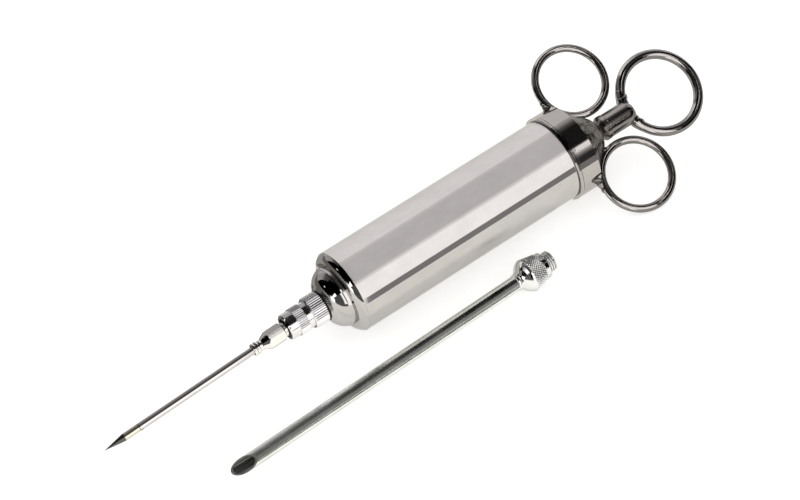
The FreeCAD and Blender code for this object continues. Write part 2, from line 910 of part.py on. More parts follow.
def build():
    fill_sheet()
    collar = rear_cap()
    bell = bell_blank()
    upper_groove = ring_groove("upper_groove", 1)
    lower_groove = ring_groove("lower_groove", -1)
    saddle = thumb_torus("thumb_saddle", "thumb_wire_radius + fit_gap")
    rear_washer = "piston_front + piston_length"
    front_washer = "piston_front - piston_washer_thickness"
    parts = [
        barrel_tube(),
        front_cap(),
        luer_adapter(),
        adapter_washer(),
        needle_hub(),
        needle_tube(),
        needle_tip(),
        collar,
        cap_gasket(),
        rear_dome(bell, [upper_groove, lower_groove]),
        rod_bush(),
        finger_ring("finger_ring_upper", 1),
        finger_ring("finger_ring_lower", -1),
        ring_braze("ring_braze_upper", 1, [upper_groove, bell, collar]),
        ring_braze("ring_braze_lower", -1, [lower_groove, bell, collar]),
        plunger_rod(),
        hex_nut("rod_jam_nut", "jam_nut_front", "jam_nut_thickness", "jam_nut_across"),
        piston_body(),
        piston_seal("piston_seal_front", "seal_front_start"),
        piston_seal("piston_seal_rear", "seal_rear_start"),
        piston_washer("piston_washer_front", front_washer),
        piston_washer("piston_washer_rear", rear_washer),
        piston_nuts(),
        thumb_hub(saddle),
        thumb_ring(),
        thumb_ring_braze(saddle),
        spare_tube(),
        spare_hub(),
    ]
    doc.recompute()
    return parts


def check(parts):
    """Stops the build if any object failed or any sub-part has no sound shape."""
    for thing in doc.Objects:
        if "Invalid" in thing.State or "Error" in thing.State:
            raise RuntimeError(f"{thing.Name} failed: {thing.State}")
    for part in parts:
        if part.Shape.isNull() or not part.Shape.isValid() or not part.Shape.Solids:
            raise RuntimeError(f"{part.Label} has no sound solid")


def write(parts):
    os.makedirs("parts", exist_ok=True)
    for part in parts:
        part.Shape.exportStep(f"parts/{part.Label}.step")


sub_parts = build()
check(sub_parts)
write(sub_parts)
for part in sub_parts:
    solids = len(part.Shape.Solids)
    print(f"{part.Label}: {solids} solid, {part.Shape.Volume:.1f} mm3")
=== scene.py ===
import json
import math

import bmesh
import bpy
from mathutils import Matrix, Vector, noise


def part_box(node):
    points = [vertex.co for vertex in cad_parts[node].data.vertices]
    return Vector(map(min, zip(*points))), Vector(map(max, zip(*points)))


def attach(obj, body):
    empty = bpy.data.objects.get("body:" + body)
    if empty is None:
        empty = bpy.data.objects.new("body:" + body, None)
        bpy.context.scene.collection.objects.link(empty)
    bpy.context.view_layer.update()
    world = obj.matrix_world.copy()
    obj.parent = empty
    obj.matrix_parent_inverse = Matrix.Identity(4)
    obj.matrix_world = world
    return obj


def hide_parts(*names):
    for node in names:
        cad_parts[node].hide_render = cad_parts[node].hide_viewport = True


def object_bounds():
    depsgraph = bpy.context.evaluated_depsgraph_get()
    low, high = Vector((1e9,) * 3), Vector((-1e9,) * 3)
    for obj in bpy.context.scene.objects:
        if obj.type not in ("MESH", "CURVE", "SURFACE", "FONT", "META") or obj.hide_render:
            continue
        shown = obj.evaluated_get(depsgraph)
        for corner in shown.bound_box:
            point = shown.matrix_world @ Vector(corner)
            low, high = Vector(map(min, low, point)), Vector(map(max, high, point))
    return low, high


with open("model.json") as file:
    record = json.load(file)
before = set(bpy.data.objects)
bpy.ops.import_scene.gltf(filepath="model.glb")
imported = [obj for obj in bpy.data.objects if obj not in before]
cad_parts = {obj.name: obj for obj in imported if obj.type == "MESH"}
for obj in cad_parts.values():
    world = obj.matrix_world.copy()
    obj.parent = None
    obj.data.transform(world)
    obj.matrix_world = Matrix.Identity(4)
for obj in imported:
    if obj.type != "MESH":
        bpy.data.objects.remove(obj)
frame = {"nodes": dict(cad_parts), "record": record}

cad_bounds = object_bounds()
scene = bpy.context.scene
nodes = frame["nodes"]
scene.view_settings.view_transform = "Standard"

MM = 0.001
FLOOR_Z = cad_bounds[0][2]

# ------------------------------------------------------------------ materials


class Graph:
    """A short way to write one material's node tree."""

    def __init__(self, name):
        self.material = bpy.data.materials.new(name)
        self.material.use_nodes = True
        self.tree = self.material.node_tree
        self.shader = self.tree.nodes["Principled BSDF"]
        self.coordinates = None

    def add(self, kind, **settings):
        node = self.tree.nodes.new(kind)
        for key, value in settings.items():
            if key in node.inputs:
                node.inputs[key].default_value = value
            else:
                setattr(node, key, value)
        return node

    def link(self, source, target):
        self.tree.links.new(source, target)

    def place(self, scale):
        """The piece's own coordinates, in millimetres times a scale per axis."""
        if self.coordinates is None:
            self.coordinates = self.add("ShaderNodeTexCoord").outputs["Object"]
        mapping = self.add("ShaderNodeMapping")
        mapping.inputs["Scale"].default_value = [s / MM for s in scale]
        self.link(self.coordinates, mapping.inputs["Vector"])
        return mapping.outputs["Vector"]

    def station(self):
        """Distance along X in millimetres."""
        split = self.add("ShaderNodeSeparateXYZ")
        self.link(self.place((1, 1, 1)), split.inputs[0])
        return split.outputs["X"]

    def noise(self, scale, detail=2.0, rough=0.5):
        """Noise whose grain is one over the scale, in millimetres."""
        node = self.add("ShaderNodeTexNoise", Scale=1.0, Detail=detail, Roughness=rough)
        self.link(self.place(scale), node.inputs["Vector"])
        return node.outputs["Fac"]

    def spread(self, value, low, high, to_low, to_high):
        """Stretches low..high to to_low..to_high, held at its ends."""
        node = self.add("ShaderNodeMapRange")
        self.link(value, node.inputs["Value"])
        limits = {"From Min": low, "From Max": high, "To Min": to_low, "To Max": to_high}
        for key, number in limits.items():
            node.inputs[key].default_value = number
        return node.outputs["Result"]

    def math(self, operation, first, second):
        node = self.add("ShaderNodeMath", operation=operation)
        for socket, value in zip(node.inputs, (first, second)):
            if isinstance(value, (int, float)):
                socket.default_value = value
            else:
                self.link(value, socket)
        return node.outputs[0]

    def ramp(self, value, stops):
        node = self.add("ShaderNodeValToRGB")
        ramp = node.color_ramp
        while len(ramp.elements) < len(stops):
            ramp.elements.new(0.5)
        for element, (position, colour) in zip(ramp.elements, stops):
            element.position = position
            element.color = (*colour, 1)
        self.link(value, node.inputs["Fac"])
        return node.outputs["Color"]

    def mix(self, factor, first, second):
        node = self.add("ShaderNodeMix", data_type="RGBA")
        self.link(factor, node.inputs["Factor"])
        self.link(first, node.inputs["A"])
        self.link(second, node.inputs["B"])
        return node.outputs["Result"]

    def bump(self, layers):
        """Stacks bumps; each layer is (height output, height in mm, strength)."""
        normal = None
        for height, size, strength in layers:
            node = self.add("ShaderNodeBump", Strength=strength, Distance=size * MM)
            self.link(height, node.inputs["Height"])
            if normal is not None:
                self.link(normal, node.inputs["Normal"])
            normal = node.outputs["Normal"]
        self.link(normal, self.shader.inputs["Normal"])


# the scale per axis of tool marks that run along the injector or round it
ALONG = (0.05, 9.0, 9.0)
AROUND = (12.0, 0.3, 0.3)
# how far, in mm, a finish takes to change at a band's edge and behind the ground point
BAND_FADE, GRIND_FADE = 0.1, 0.2


def scaled(colour, factor):
    return tuple(min(1.0, c * factor) for c in colour)


def metal(name, tint, rough, grain, height, wave=(0.0, 0.15), spots=0.0, mottle=0.05, edge=0.75):
    """Polished metal: fine tool marks, faint smears and a slow waviness. rough is its
    (lowest, highest) roughness, grain the marks' scale per axis and height their height
    in mm; wave is (height in mm, scale). edge is how bright it stays at a glancing angle."""
    return metal_graph(name, tint, rough, grain, height, wave, spots, mottle, edge)[0].material


def metal_graph(name, tint, rough, grain, height, wave, spots, mottle, edge):
    """The same, as its graph and its roughness output."""
    g = Graph(name)
    g.shader.inputs["Metallic"].default_value = 1.0
    g.shader.inputs["Specular Tint"].default_value = (edge, edge, edge, 1)
    marks = g.noise(grain, detail=3.0, rough=0.6)
    smears = g.noise((0.11, 0.16, 0.16), detail=4.0, rough=0.6)
    stops = [(0.3, scaled(tint, 1 - mottle)), (0.72, scaled(tint, 1 + mottle))]
    g.link(g.ramp(smears, stops), g.shader.inputs["Base Color"])
    roughness = g.spread(smears, 0.3, 0.75, rough[0], rough[1])
    if spots:
        specks = g.noise((1.7, 1.7, 1.7), detail=3.0, rough=0.7)
        roughness = g.math("ADD", roughness, g.spread(specks, 0.55, 0.8, 0.0, spots))
    g.link(roughness, g.shader.inputs["Roughness"])
    layers = [(marks, height, 0.5)]
    if wave[0]:
        layers.append((g.noise((wave[1],) * 3, detail=1.5), wave[0], 0.5))
    g.bump(layers)
    return g, roughness


def banded_metal(name, tint, bands, rough):
    """Turned metal whose knurled bands, given as spans of X in mm, are duller."""
    g, base = metal_graph(
        name, tint, (0.04, 0.08), AROUND, 0.0004, (0.002, 0.15), spots=0, mottle=0.05, edge=0.75
    )
    along = g.station()
    for low, high in bands:
        enter = g.spread(along, low - BAND_FADE, low, 0.0, rough)
        leave = g.spread(along, high, high + BAND_FADE, 0.0, rough)
        base = g.math("ADD", base, g.math("SUBTRACT", enter, leave))
    g.link(base, g.shader.inputs["Roughness"])
    return g.material


def knurled_metal(name, tint):
    """Turned metal with painted shade: dark where the mesh attribute "groove" is high, in the
    grooves of its knurl and thread.
    """
    g = metal_graph(
        name, tint, (0.08, 0.16), (6.0, 0.5, 0.5), 0.002, (0.0, 0.15), spots=0, mottle=0.05, edge=0.6
    )[0]
    depth = g.add("ShaderNodeAttribute", attribute_name="groove").outputs["Fac"]
    unshaded_colour = g.shader.inputs["Base Color"].links[0].from_socket
    # painted shade: a near-black colour laid into the grooves, the deepest grooves darkest
    cut = g.ramp(g.noise((2.0, 2.0, 2.0)), [(0.3, (0.14, 0.14, 0.13)), (0.7, (0.28, 0.28, 0.27))])
    shade = g.spread(depth, 0.3, 0.85, 0.0, 1.0)
    g.link(g.mix(shade, unshaded_colour, cut), g.shader.inputs["Base Color"])
    return g.material


def tube_metal(name, centre, axis, wall):
    """Drawn tube: a dull mottled outside, and painted shade in the bore, a near-black streaky colour
    within the wall's radius.
    """
    g, roughness = metal_graph(
        name,
        tint=(0.93, 0.965, 0.86),
        rough=(0.18, 0.3),
        grain=(0.08, 6.0, 6.0),
        height=0.004,
        wave=(0.018, 0.8),
        spots=0.1,
        mottle=0.14,
        edge=0.5,
    )
    offset = g.add("ShaderNodeVectorMath", operation="SUBTRACT")
    g.link(g.coordinates, offset.inputs[0])
    offset.inputs[1].default_value = centre
    across = g.add("ShaderNodeVectorMath", operation="CROSS_PRODUCT")
    g.link(offset.outputs["Vector"], across.inputs[0])
    across.inputs[1].default_value = axis
    distance = g.add("ShaderNodeVectorMath", operation="LENGTH")
    g.link(across.outputs["Vector"], distance.inputs[0])
    inside = g.spread(distance.outputs["Value"], wall - 0.15 * MM, wall, 1.0, 0.0)
    outside_colour = g.shader.inputs["Base Color"].links[0].from_socket
    # painted shade: inside the wall's radius the tube is coloured near black with faint streaks
    streaks = g.noise((0.06, 1.6, 1.6), detail=4.0)
    painted_bore_shade = g.ramp(streaks, [(0.35, (0.02, 0.02, 0.018)), (0.7, (0.3, 0.3, 0.28))])
    g.link(g.mix(inside, outside_colour, painted_bore_shade), g.shader.inputs["Base Color"])
    g.link(g.math("ADD", roughness, g.math("MULTIPLY", inside, 0.15)), g.shader.inputs["Roughness"])
    return g.material


def tip_metal(name, joint, cone):
    """The ground point is dark. The plug behind it, from the station cone on, is polished
    and yellowish, with a dark seam where the tube starts, at the station joint."""
    g = Graph(name)
    g.shader.inputs["Metallic"].default_value = 1.0
    along = g.station()
    grind = g.noise((0.4, 5.0, 5.0), detail=4.0, rough=0.6)
    plug = g.ramp(grind, [(0.3, (0.56, 0.53, 0.42)), (0.7, (0.66, 0.63, 0.52))])
    point = g.ramp(grind, [(0.3, (0.10, 0.095, 0.085)), (0.7, (0.17, 0.165, 0.15))])
    is_plug = g.spread(along, cone - GRIND_FADE, cone + GRIND_FADE, 0.0, 1.0)
    seam = g.spread(along, joint - 0.35, joint - 0.1, 1.0, 0.25)
    colour = g.mix(is_plug, point, plug)
    dark = g.ramp(seam, [(0.0, (0.0, 0.0, 0.0)), (1.0, (1.0, 1.0, 1.0))])
    shade = g.add("ShaderNodeMix", data_type="RGBA", blend_type="MULTIPLY")
    shade.inputs["Factor"].default_value = 1.0
    g.link(colour, shade.inputs["A"])
    g.link(dark, shade.inputs["B"])
    g.link(shade.outputs["Result"], g.shader.inputs["Base Color"])
    polish = g.spread(along, cone - GRIND_FADE, cone + GRIND_FADE, 0.34, 0.12)
    g.link(polish, g.shader.inputs["Roughness"])
    g.bump([(grind, 0.004, 0.5)])
    return g.material


def rubber(name, dark, light, rough):
    g = Graph(name)
    cloudy = g.noise((0.5, 0.5, 0.5), detail=5.0)
    g.link(g.ramp(cloudy, [(0.3, dark), (0.7, light)]), g.shader.inputs["Base Color"])
    g.link(g.spread(cloudy, 0.3, 0.7, rough - 0.08, rough + 0.08), g.shader.inputs["Roughness"])
    g.bump([(g.noise((5, 5, 5), detail=4.0), 0.01, 0.4)])
    return g.material


CHROME = (0.50, 0.485, 0.465)
BRONZED = (0.43, 0.41, 0.385)

chrome_tube = metal("chrome_tube", CHROME, (0.025, 0.05), ALONG, 0.0004, (0.004, 0.15))
chrome_turned = metal("chrome_turned", CHROME, (0.04, 0.08), AROUND, 0.0004, (0.002, 0.15))
chrome_collar = metal(
    "chrome_collar", BRONZED, (0.02, 0.05), (8.0, 0.4, 0.4), 0.0004, (0.012, 0.9), spots=0.1
)
chrome_wire = metal("chrome_wire", BRONZED, (0.05, 0.12), (2.0, 2.0, 2.0), 0.001, (0.012, 0.3))
chrome_hub = metal(
    "chrome_hub", (0.40, 0.375, 0.35), (0.1, 0.2), (0.12, 1.8, 1.8), 0.012, (0.004, 0.4), spots=0.1
)
cast = metal(
    "chrome_cast", (0.34, 0.32, 0.295), (0.14, 0.3), (1.4, 1.4, 1.4), 0.01, (0.05, 0.35),
    spots=0.1, mottle=0.14,
)
# the adapter's two knurled bands, in mm behind its front
ADAPTER_BANDS = [(4.0, 8.0), (10.4, 16.5)]
adapter_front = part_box("luer_adapter")[0].x / MM
knurled = [(adapter_front + low, adapter_front + high) for low, high in ADAPTER_BANDS]
chrome_adapter = banded_metal("chrome_adapter", (0.82, 0.81, 0.80), knurled, rough=0.17)
needle_hub = metal(
    "hub_chrome", (0.84, 0.82, 0.77), (0.04, 0.08), (0.05, 1.3, 1.3), 0.006, mottle=0.03, edge=0.5
)
needle = metal("needle_chrome", (0.60, 0.575, 0.55), (0.08, 0.14), ALONG, 0.0004, edge=0.5)
rod = metal("rod_steel", (0.42, 0.4, 0.38), (0.12, 0.2), AROUND, 0.002)
brass = metal("brass", (0.72, 0.52, 0.24), (0.15, 0.25), AROUND, 0.002)
stub = next(m for m in frame["record"]["mounts"] if m["name"] == "spare_thread")
spare_axis = Vector(stub["axis"]).normalized()
spare_middle = Vector(stub["pos_m"])
SPARE_WALL = 2.6 * MM
spare = tube_metal("spare_steel", spare_middle, spare_axis, SPARE_WALL)
grip = knurled_metal("spare_grip", (0.8, 0.8, 0.78))
black_rubber = rubber("black_rubber", (0.012, 0.012, 0.012), (0.03, 0.03, 0.03), 0.55)
seal_rubber = rubber("seal_rubber", (0.42, 0.4, 0.36), (0.55, 0.53, 0.48), 0.45)

tip_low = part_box("needle_tip")[0]
tube_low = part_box("needle_tube")[0]
CONE_LENGTH = 8.6
tip_finish = tip_metal("needle_point", tube_low.x / MM, tip_low.x / MM + CONE_LENGTH)

FINISHES = {
    chrome_tube: ["barrel_tube"],
    chrome_turned: ["front_cap"],
    chrome_adapter: ["luer_adapter"],
    chrome_collar: ["rear_cap"],
    chrome_hub: ["thumb_hub"],
    chrome_wire: ["finger_ring_upper", "finger_ring_lower", "thumb_ring"],
    cast: ["rear_dome", "ring_braze_upper", "ring_braze_lower", "thumb_ring_braze"],
    needle_hub: ["needle_hub"],
    needle: ["needle_tube"],
    tip_finish: ["needle_tip"],
    rod: [
        "plunger_rod",
        "rod_jam_nut",
        "piston_nuts",
        "piston_washer_front",
        "piston_washer_rear",
    ],
    brass: ["piston_body", "rod_bush"],
    seal_rubber: ["piston_seal_front", "piston_seal_rear"],
    black_rubber: ["cap_gasket", "adapter_washer"],
    spare: ["spare_tube"],
    grip: ["spare_hub"],
}
for finish, names in FINISHES.items():
    for name in names:
        nodes[name].data.materials.clear()
        nodes[name].data.materials.append(finish)

# --------------------------------------------------------------------- pieces


def add_piece(name, mesh, finish, body, slot, *replaced):
    mesh.materials.append(finish)
    piece = bpy.data.objects.new(name, mesh)
    scene.collection.objects.link(piece)
    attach(piece, body)
    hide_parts(*replaced)
    return piece


def smooth_shade(mesh, crease):
    """Smooth shading, except where faces meet at more than crease degrees."""
    mesh.shade_smooth()
    mesh.set_sharp_from_angle(angle=math.radians(crease))


def run(start, finish, steps):
    """Points along a straight part of a profile, without its last point."""
    return [
        tuple(a + (b - a) * index / steps for a, b in zip(start, finish))
        for index in range(steps)
    ]


def lathe(name, profile, count, centre, axis, relief):
    """A closed profile of (station, radius) in mm, turned about an axis.
    relief(station, radius, angle) gives the radius after knurl or thread; how deep
    it cuts is kept in the attribute "groove", from 0 to 1 at its deepest."""
    side = axis.cross(Vector((0, 1, 0))).normalized()
    other = axis.cross(side)
    points, cuts = [], []
    for station, radius in profile:
        for index in range(count):
            angle = 2 * math.pi * index / count
            out = relief(station, radius, angle)
            cuts.append(radius - out)
            spoke = side * math.cos(angle) + other * math.sin(angle)
            points.append(centre + (axis * station + spoke * out) * MM)
    faces = []
    for row in range(len(profile)):
        low, high = row * count, (row + 1) % len(profile) * count
        for index in range(count):
            after = (index + 1) % count
            faces.append((low + index, high + index, high + after, low + after))
    mesh = bpy.data.meshes.new(name)
    mesh.from_pydata(points, [], faces)
    work = bmesh.new()
    work.from_mesh(mesh)
    bmesh.ops.recalc_face_normals(work, faces=work.faces)
    work.to_mesh(mesh)
    work.free()
    groove = mesh.attributes.new("groove", "FLOAT", "POINT")
    for entry, cut in zip(groove.data, cuts):
        entry.value = cut / max(cuts)
    return mesh


# The spare needle's hub. Stations are in mm along its axis, from the middle of the stub's
# straight part; the tube is on the negative side.
STUB_RADIUS = stub["dims"]["r_mm"]
spare_low, spare_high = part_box("spare_hub")
GRIP_RADIUS = (spare_high.y - spare_low.y) / 2 / MM
STUB_BACK, RIM_BACK, RIM_FRONT = 2.0, -1.6, -2.8
KNURL_BACK, KNURL_FRONT, TUBE_END, SEAT_END = -3.7, -9.6, -15.2, -9.2
KNURL_STARTS, KNURL_TWIST, KNURL_DEPTH = 36, 0.145, 0.34
KNURL_FADE, KNURL_END_RADIUS = 0.25, 5.7
THREAD_PITCH, THREAD_DEPTH, THREAD_MARGIN = 1.0, 0.42, 0.3
SEAT_RADIUS, BORE_RADIUS, STUB_CHAMFER = 3.05, 2.4, 0.4
KNURL_ROWS, THREAD_ROWS, LATHE_STEPS = 50, 36, 360


def ridge(turns):
    """A rounded saw wave, from 0 in the groove to 1 on the ridge."""
    return 0.5 - 0.5 * math.cos(2 * math.pi * turns)


def spare_relief(station, radius, angle):
    on_grip = KNURL_FRONT <= station <= KNURL_BACK and radius > STUB_RADIUS
    within = RIM_BACK + THREAD_MARGIN < station < STUB_BACK - THREAD_MARGIN
    on_stub = within and radius > STUB_RADIUS - 0.1
    if on_grip:
        from_end = min(station - KNURL_FRONT, KNURL_BACK - station)
        fade = min(1.0, from_end / KNURL_FADE)
        start = angle * KNURL_STARTS / (2 * math.pi)
        twist = station * KNURL_TWIST * KNURL_STARTS / (2 * math.pi)
        groove = 1 - min(ridge(start + twist), ridge(start - twist))
        return radius - KNURL_DEPTH * fade * groove**2
    if on_stub:
        return radius - THREAD_DEPTH * (1 - ridge(station / THREAD_PITCH - angle / (2 * math.pi)))
    return radius


spare_profile = [
    (TUBE_END, SEAT_RADIUS),
    (TUBE_END, 3.25),
    (TUBE_END + 0.15, 3.4),
    (TUBE_END + 1.0, 3.45),
    (TUBE_END + 1.15, 3.3),
    (TUBE_END + 1.35, 3.35),
    (TUBE_END + 2.0, 4.2),
    (TUBE_END + 2.8, 5.15),
    (TUBE_END + 3.7, 5.95),
    (TUBE_END + 4.6, 6.5),
    (TUBE_END + 5.3, GRIP_RADIUS - 0.12),
    *run((KNURL_FRONT, GRIP_RADIUS - 0.04), (KNURL_BACK, KNURL_END_RADIUS), KNURL_ROWS),
    (KNURL_BACK, KNURL_END_RADIUS),
    (RIM_FRONT - 0.1, 5.42),
    (RIM_FRONT + 0.1, 5.3),
    (RIM_BACK - 0.15, 5.3),
    (RIM_BACK, 5.15),
    (RIM_BACK, STUB_RADIUS),
    *run((RIM_BACK + 0.05, STUB_RADIUS), (STUB_BACK - STUB_CHAMFER, STUB_RADIUS), THREAD_ROWS),
    (STUB_BACK - STUB_CHAMFER, STUB_RADIUS),
    (STUB_BACK, STUB_RADIUS - STUB_CHAMFER),
    (STUB_BACK, 2.7),
    (STUB_BACK - 0.3, BORE_RADIUS),
    (SEAT_END, BORE_RADIUS),
    (SEAT_END, SEAT_RADIUS),
]
spare_mesh = lathe(
    "spare_grip", spare_profile, LATHE_STEPS, spare_middle, spare_axis, spare_relief
)
smooth_shade(spare_mesh, crease=50)
spare_grip = add_piece(
    "spare_grip", spare_mesh, grip, "spare_needle", "spare_grip_steel", "spare_hub"
)


def ball(work, centre, radius, stretch):
    made = bmesh.ops.create_icosphere(work, subdivisions=3, radius=radius)
    for vertex in made["verts"]:
        vertex.co = centre + Vector(a * b for a, b in zip(vertex.co, stretch))


def melted(name, sources, balls, voxel, relax):
    """One skin over CAD nodes and balls of braze, softened where they meet."""
    work = bmesh.new()
    for source in sources:
        work.from_mesh(nodes[source].data)
    for centre, radius, stretch in balls:
        ball(work, centre, radius, stretch)
    mesh = bpy.data.meshes.new(name)
    work.to_mesh(mesh)
    work.free()
    blank = bpy.data.objects.new(name + "_blank", mesh)
    scene.collection.objects.link(blank)
    remesh = blank.modifiers.new("skin", "REMESH")
    remesh.mode = "VOXEL"
    remesh.voxel_size = voxel
    soften = blank.modifiers.new("soften", "SMOOTH")
    soften.factor = 0.5
    soften.iterations = relax
    bpy.context.view_layer.update()
    ready = blank.evaluated_get(bpy.context.evaluated_depsgraph_get())
    result = bpy.data.meshes.new_from_object(ready)
    bpy.data.objects.remove(blank)
    result.name = name
    result.materials.clear()
    return result


def roughen(mesh, height, grain, calm_after):
    """Moves each point along its normal by cast-looking noise, in metres; the
    noise dies away towards the station calm_after."""
    normals = [vertex.normal.copy() for vertex in mesh.vertices]
    for vertex, normal in zip(mesh.vertices, normals):
        lumps = noise.fractal(vertex.co / grain, 1.0, 2.0, 3)
        fade = max(0.0, min(1.0, (calm_after - vertex.co.x) / (1.5 * MM)))
        vertex.co += normal * (height * lumps * fade)


def ring_frame(node, wire, sideways):
    """Centre, ring radius and in-plane direction of a wire ring."""
    low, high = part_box(node)
    centre = (low + high) / 2
    radius = (high.x - low.x) / 2 - wire
    return centre, radius, sideways(low, high).normalized()


def along_ring(ring, degrees, offset):
    """A point of the ring; 180 is its end nearest the needle."""
    centre, radius, across = ring
    angle = math.radians(degrees)
    spoke = Vector((1, 0, 0)) * math.cos(angle) + across * math.sin(angle)
    return centre + spoke * (radius + offset)


def away_from_axis(low, high):
    """A finger ring's in-plane direction, from the barrel's axis to its centre."""
    centre = (low + high) / 2
    return Vector((0, centre.y, centre.z))


FINGER_WIRE, THUMB_WIRE = 1.6 * MM, 2.0 * MM
BEADS, BEADS_FROM, BEAD_STEP = 11, 186, 6.5
CORNER_RADIUS, CORNER_BEHIND, CORNER_SIZE = 18.1 * MM, 0.9 * MM, 1.75 * MM
braze = []
for name in ("finger_ring_upper", "finger_ring_lower"):
    ring = ring_frame(name, FINGER_WIRE, away_from_axis)
    for index in range(BEADS):
        degrees = BEADS_FROM + BEAD_STEP * index
        size = 1.25 + 0.3 * noise.noise(Vector((index * 0.9, len(name), 0.5)))
        spot = along_ring(ring, degrees, (0.9 + 0.25 * math.sin(index * 2.1)) * MM)
        braze.append((spot, size * MM, (1.15, 1.0, 1.0)))
    centre, _, across = ring
    corner = Vector((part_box("rear_cap")[1].x, centre.y, centre.z))
    corner = corner - across * (across.dot(centre) - CORNER_RADIUS)
    braze.append((corner + Vector((CORNER_BEHIND, 0, 0)), CORNER_SIZE, (0.9, 1.0, 1.0)))
bell = melted("bell_casting", ["rear_dome"], braze, voxel=0.3 * MM, relax=4)
bell_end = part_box("rear_dome")[1].x
roughen(bell, height=0.15 * MM, grain=4.5 * MM, calm_after=bell_end - 1.0 * MM)
smooth_shade(bell, crease=60)
bell_casting = add_piece(
    "bell_casting", bell, cast, "collar", "cast_chrome",
    "rear_dome", "ring_braze_upper", "ring_braze_lower",
)


def tilted_up(low, high):
    """The thumb ring's in-plane direction, from how wide and how high it stands."""
    wide = (high.y - low.y) / 2 - THUMB_WIRE
    tall = (high.z - low.z) / 2 - THUMB_WIRE
    return Vector((0, wide, tall))


thumb = ring_frame("thumb_ring", THUMB_WIRE, tilted_up)
SLEEVE_BEADS, SLEEVE_FROM, SLEEVE_STEP = 6, 13, 3.2
BEYOND_THE_PART = 1.0
sleeve = []
for side in (-1, 1):
    for index in range(SLEEVE_BEADS):
        degrees = 180 + side * (SLEEVE_FROM + SLEEVE_STEP * index)
        size = 2.4 - 0.07 * index + 0.06 * noise.noise(Vector((index, side, 2.5)))
        sleeve.append((along_ring(thumb, degrees, 0.15 * MM), size * MM, (1.0, 1.0, 1.0)))
thumb_mesh = melted("thumb_braze", ["thumb_ring_braze"], sleeve, voxel=0.25 * MM, relax=3)
roughen(thumb_mesh, height=0.05 * MM, grain=2.5 * MM, calm_after=BEYOND_THE_PART)
smooth_shade(thumb_mesh, crease=60)
thumb_braze = add_piece(
    "thumb_braze", thumb_mesh, chrome_wire, "plunger", "cast_chrome", "thumb_ring_braze"
)

# --------------------------------------------------------------------- studio


PAPER = (1.24, 1.21, 1.15)
TABLE_GREY = (0.22, 0.21, 0.205)
NIGHT, LESS_GREEN = 0.016, 0.975

# The cards stand round the injector's axis like a light tent, TENT mm from it; a card
# with a smaller radius hides the ones behind it. Angles are from straight up towards -Y.
# Behind the injector the cards end at FOOT, below the table.
TENT, FAR, FOOT = 300, 1500, -112
# where the tent's stretches start along X, in mm, each named after what mirrors it
TIP_X, NEEDLE_X, HUB_X, NECK_X, LAND_X = -200, -60, 37, 58, 84
BARREL_X, COLLAR_X, BELL_X = 91, 223, 242


def glow(name, clear=0.0):
    """Emission in the card's own painted colours; clear is how much shows through."""
    material = bpy.data.materials.new(name)
    material.use_nodes = True
    tree = material.node_tree
    tree.nodes.clear()
    paint = tree.nodes.new("ShaderNodeAttribute")
    paint.attribute_name = "paint"
    shader = tree.nodes.new("ShaderNodeEmission")
    tree.links.new(paint.outputs["Color"], shader.inputs["Color"])
    through = tree.nodes.new("ShaderNodeBsdfTransparent")
    mixed = tree.nodes.new("ShaderNodeMixShader")
    mixed.inputs["Fac"].default_value = clear
    tree.links.new(shader.outputs[0], mixed.inputs[1])
    tree.links.new(through.outputs[0], mixed.inputs[2])
    output = tree.nodes.new("ShaderNodeOutputMaterial")
    tree.links.new(mixed.outputs[0], output.inputs["Surface"])
    return material


CARD, HALF_CARD, VEILED_CARD = glow("card"), glow("half_card", 0.5), glow("veiled_card", 0.15)


def studio_card(name, points, faces, colours, lights=None, material=CARD):
    """A card that only shows in reflections. lights lists the pieces it lights; to
    any other piece it is black, or dims what lies behind it if it is partly clear.
    Without the list it lights them all."""
    mesh = bpy.data.meshes.new(name)
    mesh.from_pydata(points, [], faces)
    mesh.materials.append(material)
    paint = mesh.attributes.new("paint", "FLOAT_COLOR", "POINT")
    for entry, colour in zip(paint.data, colours):
        entry.color = (*colour, 1)
    card = bpy.data.objects.new(name, mesh)
    scene.collection.objects.link(card)
    card.visible_camera = False
    card.visible_diffuse = False
    card.visible_shadow = False
    card.visible_transmission = False
    card.visible_volume_scatter = False
    if lights:
        lit = bpy.data.collections.new(name + "_lit")
        for piece in lights:
            lit.objects.link(piece)
        card.light_linking.receiver_collection = lit


def card_colour(level):
    """A level as a colour: a plain number is a grey with a little less green."""
    if isinstance(level, tuple):
        return Vector(level)
    return Vector((level, LESS_GREEN * level, level))


def long_card(name, start, end, stops, radius=TENT, lights=None, material=CARD):
    """A card bent round the injector's axis, from start to end along X in mm. stops
    are (angle, level) with the angle from straight up towards -Y in degrees; a level
    is a grey or a colour and runs smoothly from stop to stop."""
    points, colours, faces = [], [], []
    for (low, first), (high, second) in zip(stops, stops[1:]):
        if high <= low:
            continue
        first, second = card_colour(first), card_colour(second)
        steps = max(1, round((high - low) / 3))
        base = len(points)
        for index in range(steps + 1):
            share = index / steps
            angle = math.radians(low + (high - low) * share)
            y, z = -radius * math.sin(angle) * MM, radius * math.cos(angle) * MM
            points += [(start * MM, y, z), (end * MM, y, z)]
            colours += [tuple(first.lerp(second, share))] * 2
        faces += [
            (base + 2 * i, base + 2 * i + 1, base + 2 * i + 3, base + 2 * i + 2)
            for i in range(steps)
        ]
    studio_card(name, points, faces, colours, lights, material)


def flat_card(name, corners, colour, lights=None, material=CARD):
    studio_card(name, corners, [(0, 1, 2, 3)], [colour] * 4, lights, material)


def on_table(x_low, x_high, y_low, y_high):
    """Corners, in mm, of a sheet just above the table."""
    z = FLOOR_Z + 0.1 * MM
    sides = [(x_low, y_low), (x_high, y_low), (x_high, y_high), (x_low, y_high)]
    return [(x * MM, y * MM, z) for x, y in sides]


